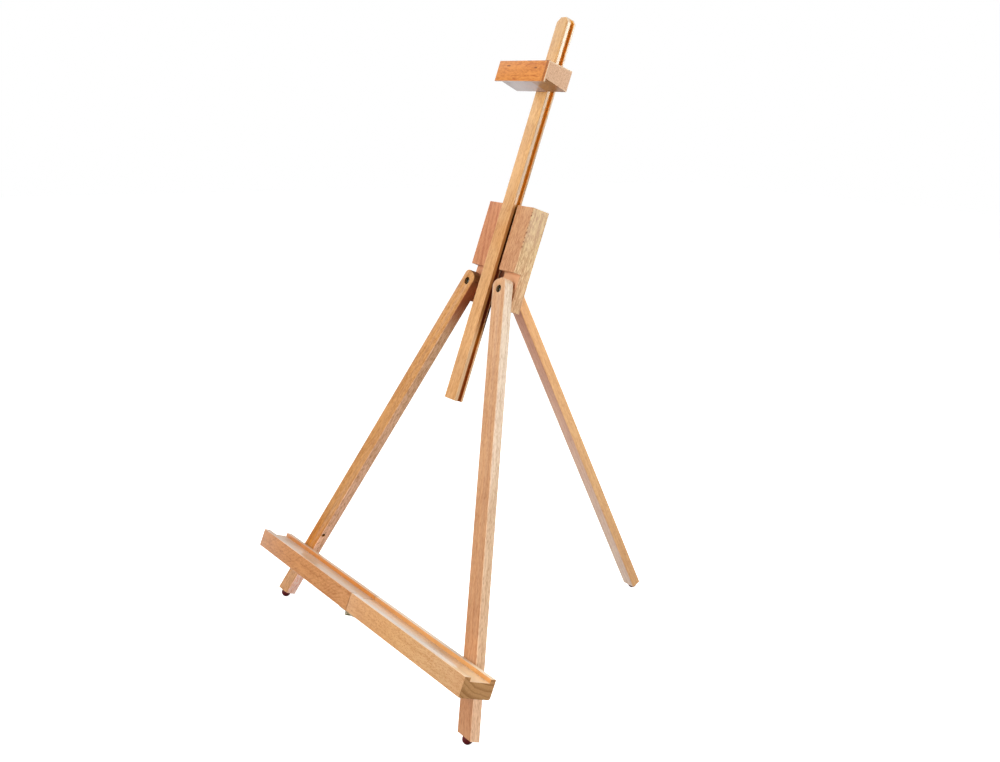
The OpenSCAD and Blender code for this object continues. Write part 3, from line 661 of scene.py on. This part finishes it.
trayToneAndReflection = dict(
    # how strongly the groove's floor and the lips' tops are painted pale as a reflection, and the colour of the
    # back lip's face
    tray_left=(0.55, (0.74, 0.275, 0.05)),
    tray_right=(0.25, (0.82, 0.38, 0.115)),
    # the pale colour painted as a reflection; middle: factors of the right tray's colour between places in
    # millimetres;
    # then the colour of the cream reflection painted at the right end of its floor, between shares of its half
    # length
    paleReflection=(0.66, 0.535, 0.41), middle=(1.05, 1.12, 1.19), middleAt=(-110, 0, 125, 95),
    creamReflection=(0.92, 0.7, 0.44), creamAt=(0.55, 0.85),
)


def trayMarks(tone, at):
    # the back lip's face towards the groove keeps a deeper orange, and the groove's floor and the lips' tops
    # are painted pale as a reflection and left bare; the right tray is paler in its middle and has a cream
    # painted reflection at the right end of its floor
    t, u, w = trayToneAndReflection, at.u, at.w
    height, _, length = at.half
    reflectionShare, lipColour = t[at.node]
    lip = at.facing.along(legFront).step(0.5, 0.9) * at.v.step(0, 4) * u.step(0, 4)
    tone = (lip * 0.8).mix(tone, lipColour)
    up = at.facing.along(legUp).step(0.6, 0.9)
    top = up * u.step(height - 1.0, height - 0.3)
    # painted pale reflection on faces that look up, strongest on the lips' tops
    reflection = up * reflectionShare + top * 0.6 + at.chips * up * 0.8
    tone = (reflection - top * reflectionShare).clamped().mix(tone, t["paleReflection"])
    if at.node == "tray_right":
        tone = w.band(*t["middleAt"]).shaded(tone, t["middle"])
        tone = (up * w.step(*(length * a for a in t["creamAt"])) * 0.7).mix(tone, t["creamReflection"])
    return tone, up * reflectionShare


timbers = {
    # node: piece, body, easing of its arrises in millimetres, its own marks
    "mast": ("mastTimber", "mast", 0.5, mastMarks),
    "left_cheek": ("leftCheek", "head", 0.6, cheekMarks),
    "right_cheek": ("rightCheek", "head", 0.6, rightCheekMarks),
    "bridge_block": ("bridgeBlock", "head", 0.5, bridgeMarks),
    "clamp_block": ("clampBlock", "clamp", 0.5, clampMarks),
    "left_leg": ("leftLeg", "left_leg", 0.5, legMarks),
    "right_leg": ("rightLeg", "right_leg", 0.5, legMarks),
    "rear_leg": ("rearLeg", "rear_leg", 0.5, None),
    "tray_left": ("leftTray", "tray_left", 0.4, trayMarks),
    "tray_right": ("rightTray", "tray_right", 0.4, trayMarks),
    "leg_spacers": ("legSpacers", "head", 0.4, None),
}
for node, (name, body, ease, marks) in timbers.items():
    eased(node, name, body, "beech", beech(node, marks), ease)
nodes["bridge_dowels"].data.materials.clear()
nodes["bridge_dowels"].data.materials.append(beech("bridge_dowels"))
print("timbers eased and grained:", len(timbers) + 1)


metalLook = {
    # colour, colour and loss of metal where it is dull, roughness from bright to dull, strength of scratches
    "agedBrass": ((0.62, 0.45, 0.17), (0.26, 0.17, 0.06), 0.2, (0.24, 0.48), 0.5),
    "darkBrass": ((0.17, 0.105, 0.035), (0.04, 0.022, 0.007), 0.2, (0.26, 0.5), 0.5),
    # a paler, less metallic brass for the hinge: painted light that stands in for the highlight on its knuckle
    "litHingeBrass": ((0.88, 0.77, 0.5), (0.6, 0.5, 0.3), 0.9, (0.22, 0.45), 0.4),
    "zincSteel": ((0.66, 0.66, 0.65), (0.4, 0.41, 0.42), 0.2, (0.26, 0.46), 0.6),
}
metalGrain = dict(
    # how fine clouds, specks and scratches are, per metre, the last across and along them; bump in millimetres
    cloud=140, speck=1100, grind=(300, 4200, 300), bump=0.03,
    # painted shade inside a nut's socket: its colour, and heights from the nut's front between which the metal
    # turns bright
    socketShade=(0.003, 0.0015, 0.001), socketShadeTop=(-0.6, -0.2),
)


def metal(name, inside=None):
    # inside: an axis and a height along it in metres, below which a nut is painted dark with shade
    (colour, tarnish, dulled, (low, high), scratch), grain = metalLook[name], metalGrain

    def build(place, facing):
        cloud = place.noise(place, grain["cloud"], 4, 0.6)
        speck = place.noise(place, grain["speck"], 2, 0.6)
        stretched = place.node("ShaderNodeMapping", None, {"Vector": place, "Scale": grain["grind"]})
        grind = place.noise(stretched, 1, 2)
        dull = (cloud.step(-0.08, 0.2) * 0.7 + speck * 0.9).clamped()
        tone = dull.mix(colour, tarnish)
        if inside:
            depth = place.along(inside[0]) * (1 / mm) - inside[1] / mm
            # painted shade deep in the socket
            tone = (1 - depth.step(*grain["socketShadeTop"])).mix(tone, grain["socketShade"])
        return {"Base Color": tone,
                "Metallic": 1 - dull * dulled,
                "Roughness": dull * (high - low) + grind * 0.2 + low,
                "Bump": (grind * scratch + speck * 0.6 + cloud * 0.8, grain["bump"] * mm, 0.5)}

    return newMaterial(name + ("Nut" if inside else ""), {}, build)


plasticLook = dict(
    # how fine the spark texture and the rubbed places are, per metre; dark and pale; bump in millimetres
    spark=2600, rub=70, tones=((0.012, 0.012, 0.013), (0.035, 0.034, 0.034)), bump=0.05,
)


def knobPlastic():
    # moulded black plastic: fine spark texture, rubbed smoother where fingers hold it
    p = plasticLook

    def build(place, facing):
        spark = place.noise(place, p["spark"], 2, 0.7)
        rub = place.noise(place, p["rub"], 3).step(-0.08, 0.14)
        return {"Base Color": (spark * 0.8 + 0.3).clamped().mix(*p["tones"]),
                "Roughness": spark * 0.25 - rub * 0.12 + 0.48,
                "Bump": (spark * (1 - rub * 0.7), p["bump"] * mm, 0.6)}

    return newMaterial("blackPlastic", {"Specular IOR Level": 0.45}, build)


rubberLook = dict(
    # how fine the grain and the clouds are, per metre; dark and pale; bump in millimetres
    grain=1500, cloud=160, tones=((0.085, 0.0035, 0.005), (0.135, 0.007, 0.009)), bump=0.08,
    # dust and the heights over the floor, in millimetres, between which it settles
    dust=(0.16, 0.08, 0.07), dusty=(1.6, 0.1),
)


def maroonRubber():
    # dark red moulded rubber, greyed by dust towards the floor
    r = rubberLook

    def build(place, facing):
        grain = place.noise(place, r["grain"], 3, 0.7)
        cloud = place.noise(place, r["cloud"], 3)
        dust = (place.along((0, 0, 1)) * (1 / mm)).step(*r["dusty"]) * (grain * 1.4 + 0.5).clamped()
        tone = (cloud * 1.6 + 0.4).clamped().mix(*r["tones"])
        return {"Base Color": (dust * 0.4).mix(tone, r["dust"]),
                "Roughness": grain * 0.2 + dust * 0.35 + 0.42,
                "Bump": (grain, r["bump"] * mm, 0.5)}

    return newMaterial("maroonRubber", {"Specular IOR Level": 0.35}, build)


nylonLook = dict(grain=900, tones=((0.72, 0.7, 0.62), (0.6, 0.57, 0.49)), bump=0.05)


def paleNylon():
    # grain per metre, pale and dark tones, bump in millimetres
    n = nylonLook

    def build(place, facing):
        grain = place.noise(place, n["grain"], 3, 0.6)
        return {"Base Color": (grain * 1.5 + 0.4).clamped().mix(*n["tones"]),
                "Roughness": grain * 0.2 + 0.45,
                "Bump": (grain, n["bump"] * mm, 0.4)}

    return newMaterial("paleNylon", {"Subsurface Weight": 0.1, "Subsurface Scale": 0.002}, build)


brass, steel, litHingeBrass = metal("agedBrass"), metal("zincSteel"), metal("litHingeBrass")
plastic, rubber, nylon = knobPlastic(), maroonRubber(), paleNylon()


def seats(node, axis, apart=None):
    # each solid of a turned node: the lowest point of its axis, the axis, and a direction beside it
    axis = np.array(axis)
    side = np.cross(axis, (0.0, 0.0, 1.0) if abs(axis[2]) < 0.9 else (0.0, 1.0, 0.0))
    side /= np.linalg.norm(side)
    other = np.cross(axis, side)
    groups = [corners(node)]
    if apart is not None:
        reach = groups[0] @ np.array(apart)
        order = np.sort(reach)
        gap = np.argmax(np.diff(order))
        middle = (order[gap] + order[gap + 1]) / 2
        groups = [groups[0][reach < middle], groups[0][reach > middle]]
    found = []
    for points in groups:
        a, b = (((points @ d).min() + (points @ d).max()) / 2 for d in (side, other))
        found.append((side * a + other * b + axis * (points @ axis).min(), axis, side))
    return found


def lengthFrom(seat, node):
    # millimetres from the seat to the node's other end
    start, axis, _ = seat
    return float((corners(node) @ axis).max() - start @ axis) / mm


def around(columns):
    return np.linspace(0, 2 * math.pi, columns, endpoint=False)


def outwards(seat, angle):
    # the directions from the axis at each angle
    _, axis, side = seat
    return np.cos(angle)[..., None] * side + np.sin(angle)[..., None] * np.cross(axis, side)


columnsRound = dict(plain=48, lobed=144, threaded=32)


def turned(seat, profile, outline=1.0, columns=columnsRound["plain"]):
    # rows are (height up the axis, radius, share of the outline) in millimetres; at angle t a row stands at
    # radius * (1 + share * (outline(t) - 1)) from the axis
    start, axis, _ = seat
    height, radius, share = np.array(profile, float).T
    reach = radius[:, None] * (1 + share[:, None] * (np.broadcast_to(outline, columns) - 1))
    return start + (height[:, None, None] * axis + reach[..., None] * outwards(seat, around(columns))) * mm


def hexOutline():
    # straight lines between six corners at radius 1
    angle = around(columnsRound["plain"]) % (math.pi / 3)
    return math.cos(math.pi / 6) / np.cos(angle - math.pi / 6)


def crossOutline(width=0.26):
    # four arms that reach 1 and are twice the width wide
    angle = (around(columnsRound["plain"]) + math.pi / 4) % (math.pi / 2)
    return np.minimum(1.0, width / np.maximum(np.abs(np.sin(angle - math.pi / 4)), 1e-6))


def lobeOutline(lobes, depth):
    # a raised cosine for each hollow between the lobes
    return 1 - depth * (0.5 - 0.5 * np.cos(lobes * around(columnsRound["lobed"]))) ** 0.8


def fitting(name, grids, material, body, slotName, node, crease=38):
    # rows of each grid close round their axis, and rows of no radius close to a point
    points, faces, start = [], [], 0
    for grid in grids:
        rows, columns = grid.shape[:2]
        here = start + np.arange((rows - 1) * columns).reshape(rows - 1, columns)
        beside = np.roll(here, -1, axis=1)
        faces.append(np.stack([here, beside, beside + columns, here + columns], -1).reshape(-1, 4))
        points.append(grid.reshape(-1, 3))
        start += rows * columns
    mesh = bpy.data.meshes.new(name)
    mesh.from_pydata(np.concatenate(points).tolist(), [], np.concatenate(faces).tolist())
    shape = bmesh.new()
    shape.from_mesh(mesh)
    bmesh.ops.remove_doubles(shape, verts=shape.verts, dist=1e-6)
    bmesh.ops.recalc_face_normals(shape, faces=shape.faces)
    shape.to_mesh(mesh)
    shape.free()
    mesh.shade_smooth()
    mesh.set_sharp_from_angle(angle=math.radians(crease))
    mesh.materials.append(material)
    return place(name, mesh, body, slotName, node)


def domed(base, top, wide, narrow, steps=7):
    # a quarter ellipse from the wide radius at the base to the narrow one at the top
    turn = np.linspace(0, math.pi / 2, steps)
    return [(base + (top - base) * math.sin(t), narrow + (wide - narrow) * math.cos(t), 0) for t in turn]


footShape = dict(radius=6.5, skirt=2.6, groove=0.35, peg=2.0)


def rubberFoot(node, name, body, down):
    # a dome under a short skirt with a moulding groove between them, and the peg that holds it
    s = footShape
    r, peg = s["radius"], s["peg"]
    (seat,) = seats(node, down)
    sole = lengthFrom(seat, node) - r - s["skirt"]
    profile = [(0, 0, 0), (0, peg - 0.3, 0), (0.3, peg, 0), (sole, peg, 0), (sole, r - 0.4, 0),
               (sole + 0.15, r - 0.1, 0), (sole + 1.2, r, 0), (sole + 1.4, r - s["groove"], 0),
               (sole + 1.6, r - s["groove"], 0), (sole + 1.8, r, 0)]
    profile += domed(sole + s["skirt"], sole + s["skirt"] + r, r, 0, 16)[:-1] + [(sole + s["skirt"] + r, 0, 0)]
    fitting(name, [turned(seat, profile)], rubber, body, "foot_rubber", node)


rubberFoot("left_foot", "leftFoot", "left_leg", -legUp)
rubberFoot("right_foot", "rightFoot", "right_leg", -legUp)
rubberFoot("rear_foot", "rearFoot", "rear_leg", -(rearTurn @ headUp))

knobLook = {
    # lobes, radius, neck radius and length, thickness, depth of the hollows as a share of the radius
    "mast_knob": dict(lobes=6, radius=14.0, neck=6.5, neckLength=4.0, thick=14.0, hollow=0.185),
    "clamp_knob": dict(lobes=5, radius=8.0, neck=4.5, neckLength=1.5, thick=8.0, hollow=0.185),
}
knobCrown = (
    # height as a share of the thickness, radius as a share of the radius, and share of the lobes
    (0, 0.78, 0.75), (0.03, 0.89, 0.9), (0.1, 0.965, 1), (0.2, 0.995, 1), (0.3, 1, 1), (0.62, 1, 1),
    (0.76, 0.985, 1), (0.86, 0.94, 1), (0.94, 0.86, 0.9),
)


def lobedKnob(node, name, body):
    # a round neck under the lobes, and a shallow dish in the top with a plug in it
    k = knobLook[node]
    r, neck, base, thick = k["radius"], k["neck"], k["neckLength"], k["thick"]
    top = base + thick
    profile = [(0, 0, 0), (0, neck - 0.5, 0), (0.4, neck - 0.05, 0), (base - 0.5, neck - 0.05, 0),
               (base, neck + 0.6, 0.1)]
    profile += [(base + height * thick, radius * r, share) for height, radius, share in knobCrown]
    profile += [(top - 0.1, 0.74 * r, 0.7), (top, 0.64 * r, 0.45), (top - 0.02 * thick, 0.56 * r, 0.15),
                (top - 0.05 * thick, 0.52 * r, 0), (top - 0.05 * thick, 0.34 * r, 0),
                (top - 0.03 * thick, 0.3 * r, 0), (top - 0.03 * thick, 0, 0)]
    outline = lobeOutline(k["lobes"], k["hollow"])
    grid = turned(seats(node, headBack)[0], profile, outline, columnsRound["lobed"])
    fitting(name, [grid], plastic, body, "knob", node, 50)


threadLook = {
    # diameter, pitch and depth of the thread, and the length over which its start is pointed, in millimetres
    "mast_lock_screw": dict(diameter=6.0, pitch=1.0, depth=0.55, point=0.4),
    "clamp_lock_screw": dict(diameter=5.0, pitch=0.8, depth=0.45, point=0.4),
}


def threadedScrew(node, name, body):
    # one grid up the screw: the radius falls by a triangle wave of height / pitch - angle / turn
    s = threadLook[node]
    seat = seats(node, headBack)[0]
    start, axis, _ = seat
    length, pitch, columns = lengthFrom(seat, node), s["pitch"], columnsRound["threaded"]
    height = np.linspace(0.05, length, int(length / pitch * 8))[:, None]
    angle = around(columns)[None, :]
    phase = (height / pitch - angle / (2 * math.pi)) % 1
    cut = np.abs(phase * 2 - 1) * np.minimum(1, height / pitch)
    reach = s["diameter"] / 2 - s["depth"] * cut - 0.5 * np.exp(-height / s["point"])
    wall = start + (height[..., None] * axis + reach[..., None] * outwards(seat, angle)) * mm
    ends = [np.broadcast_to(start + axis * h * mm, (1, columns, 3)) for h in (0.0, length)]
    fitting(name, [np.concatenate([ends[0], wall, ends[1]])], steel, body, "steel", node, 25)


lobedKnob("mast_knob", "mastKnob", "mast_lock")
lobedKnob("clamp_knob", "clampKnob", "clamp_lock")
threadedScrew("mast_lock_screw", "mastLockScrew", "mast_lock")
threadedScrew("clamp_lock_screw", "clampLockScrew", "clamp_lock")

boltLook = dict(
    # radius of the shank and head, height of the head, and radius and depth of its hexagon socket
    shank=2.5, head=4.75, rise=3.0, socket=1.75, deep=1.9,
)


def domedBolts(node, name, body, apart=None):
    b = boltLook
    head, shank, socket, deep = b["head"], b["shank"], b["socket"], b["deep"]
    grids = []
    for seat in seats(node, -legFront, apart):
        length = lengthFrom(seat, node)
        under = length - b["rise"]
        profile = [(0, 0, 0), (0, shank - 0.3, 0), (0.3, shank, 0), (under, shank, 0), (under, head - 0.2, 0),
                   (under + 0.2, head, 0)] + domed(under + 0.7, length, head, socket + 0.7)
        profile += [(length, socket + 0.25, 0.6), (length - 0.2, socket, 1), (length - deep, socket, 1),
                    (length - deep - 0.4, 0, 0)]
        grids.append(turned(seat, profile, hexOutline()))
    fitting(name, grids, steel, body, "steel", node)


domedBolts("leg_pivot_bolts", "legPivotBolts", "head", across)
domedBolts("left_tray_bolt", "leftTrayBolt", "tray_left")
domedBolts("right_tray_bolt", "rightTrayBolt", "right_leg")

sleeveNut = dict(radius=4.0, length=4.4, socket=2.85, deep=3.4)


def sleeveNuts():
    # a rounded brass rim round a deep hexagon socket, seen from the front of the legs
    r, length, socket, deep = (sleeveNut[key] for key in ("radius", "length", "socket", "deep"))
    profile = [(0, 0, 0), (0, r, 0), (length - 0.5, r, 0), (length - 0.15, r - 0.15, 0), (length, r - 0.5, 0),
               (length, socket + 0.35, 0.6), (length - 0.25, socket, 1), (length - deep, socket, 1),
               (length - deep - 0.3, 0, 0)]
    grids = [turned(seat, profile, hexOutline()) for seat in seats("leg_pivot_nuts", legFront, across)]
    front = float((corners("leg_pivot_nuts") @ np.array(legFront)).max())
    fitting("legPivotNuts", grids, metal("darkBrass", (legFront, front)), "head", "brass", "leg_pivot_nuts")


sleeveNuts()

screwLook = dict(head=2.9, shank=1.5, cone=1.2, rise=1.7, cross=1.5, deep=0.9)


def woodScrews(node, name, body, axis, apart, material, slotName, roundHead):
    # flat heads in the hinge, round heads in the clamp's bracket, each with a cross cut in it
    s = screwLook
    head, shank, cross, deep = s["head"], s["shank"], s["cross"], s["deep"]
    grids = []
    for seat in seats(node, axis, apart):
        length = lengthFrom(seat, node)
        profile = [(0, 0, 0), (2.0, shank, 0)]
        if roundHead:
            under = length - s["rise"]
            profile += [(under, shank, 0), (under, head, 0)] + domed(under + 0.35, length, head, cross + 0.3)
        else:
            profile += [(length - s["cone"], shank, 0), (length - 0.1, head - 0.05, 0), (length, head - 0.2, 0)]
        profile += [(length, cross + 0.1, 1), (length - 0.2, cross, 1), (length - deep, cross * 0.7, 1),
                    (length - deep - 0.15, 0, 1)]
        grids.append(turned(seat, profile, crossOutline()))
    fitting(name, grids, material, body, slotName, node)


legDown = -legUp
woodScrews("clamp_bracket_screws", "bracketScrews", "clamp", headBack, across, steel, "steel", True)
woodScrews("hinge_screws_left", "leftHingeScrews", "tray_left", legDown, -legFront, brass, "brass", False)
woodScrews("hinge_screws_right", "rightHingeScrews", "tray_right", legDown, -legFront, brass, "brass", False)
woodScrews("clip_screws", "clipScrews", "head", -headBack, headUp, steel, "steel", False)

clampNut = dict(radius=4.6, bore=2.55, length=6.0, knurls=24, knurl=0.06)


def knurledNut():
    # the clamp's round nut, knurled between two plain rims
    s = clampNut
    r, bore, length = s["radius"], s["bore"], s["length"]
    profile = [(0.2, bore, 0), (0, bore + 0.3, 0), (0, r - 0.3, 0), (0.3, r, 0), (0.8, r, 0), (1.0, r, 1),
               (length - 1.0, r, 1), (length - 0.8, r, 0), (length - 0.3, r, 0), (length, r - 0.3, 0),
               (length, bore + 0.3, 0), (length - 0.2, bore, 0), (0.2, bore, 0)]
    outline = lobeOutline(s["knurls"], s["knurl"])
    grid = turned(seats("clamp_nut", headBack)[0], profile, outline, columnsRound["lobed"])
    fitting("clampNut", [grid], brass, "clamp", "brass", "clamp_nut")


knurledNut()

sheets = {
    # sheet metal and washers, the CAD shapes with their cut edges broken
    # node: piece, body, slot, material, easing in millimetres
    "mast_clip": ("mastClip", "head", "steel", steel, 0.25),
    "clamp_bracket": ("clampBracket", "clamp", "steel", steel, 0.35),
    "hinge_leaf_left": ("leftHingeLeaf", "tray_left", "brass", litHingeBrass, 0.15),
    "hinge_leaf_right": ("rightHingeLeaf", "tray_right", "brass", litHingeBrass, 0.15),
    "hinge_pin": ("hingePin", "tray_left", "steel", steel, 0.3),
    "knob_insert": ("knobInsert", "head", "brass", brass, 0.3),
    "rear_pivot_washers": ("rearPivotWashers", "head", "nylon", nylon, 0.3),
    "left_washers": ("leftTrayWashers", "tray_left", "steel", steel, 0.12),
    "right_bolt_washer": ("rightBoltWasher", "right_leg", "steel", steel, 0.12),
    "right_washer": ("rightTrayWasher", "tray_right", "steel", steel, 0.12),
    "rear_pivot_rod": ("rearPivotRod", "head", "steel", steel, 0.4),
    "left_insert": ("leftTrayInsert", "tray_left", "brass", brass, 0.2),
    "right_insert": ("rightTrayInsert", "tray_right", "brass", brass, 0.2),
}
for node, (name, body, slotName, material, ease) in sheets.items():
    eased(node, name, body, slotName, material, ease, 2)
print("fittings made")

floorLook = dict(reach=7.0, paper=(0.8, 0.8, 0.8, 1), glow=0.84)


def whiteFloor():
    # one flat sheet under the easel; reach in metres
    reach = floorLook["reach"]
    points = [(-reach, -reach, 0), (reach, -reach, 0), (reach, reach, 0), (-reach, reach, 0)]
    mesh = bpy.data.meshes.new("studioFloor")
    mesh.from_pydata(points, [], [(0, 1, 2, 3)])
    floor = bpy.data.objects.new("studioFloor", mesh)
    scene.collection.objects.link(floor)

    def build(place, facing):
        return {"Roughness": place.noise(place, 3.0, 2) * 0.1 + 0.8}

    glow = {"Emission Color": (1, 1, 1, 1), "Emission Strength": floorLook["glow"]}
    fixed = {"Base Color": floorLook["paper"], **glow}
    mesh.materials.append(newMaterial("paperWhite", fixed, build))
    floor.visible_diffuse = False
    floor.visible_glossy = False


surroundLook = dict(
    # strongest: where the light comes from; reach: how nearly a direction must point there
    strongest=(-0.8, 0.6, 0.0), reach=(0.15, 0.95), front=0.14, behind=0.15, mirrored=0.9,
)


def whiteSurround():
    # white behind everything seen; the light it gives is full from behind the easel and weak from the front
    s = surroundLook
    world = bpy.data.worlds.new("studioWhite")
    scene.world = world
    world.use_nodes = True
    tree = world.node_tree
    shader = tree.nodes["Background"]
    start = Wire(tree, tree.nodes.new("ShaderNodeTexCoord").outputs["Generated"])
    away = start.along(s["strongest"]).step(*s["reach"])
    seen = start.node("ShaderNodeLightPath", None, None, "Is Camera Ray")
    mirrored = start.node("ShaderNodeLightPath", None, None, "Is Glossy Ray")
    strength = seen.most(away * s["behind"] + s["front"] + mirrored * away * s["mirrored"])
    shader.inputs["Color"].default_value = (1, 1, 1, 1)
    tree.links.new(strength.socket, shader.inputs["Strength"])


whiteFloor()
whiteSurround()
print("studio ready")
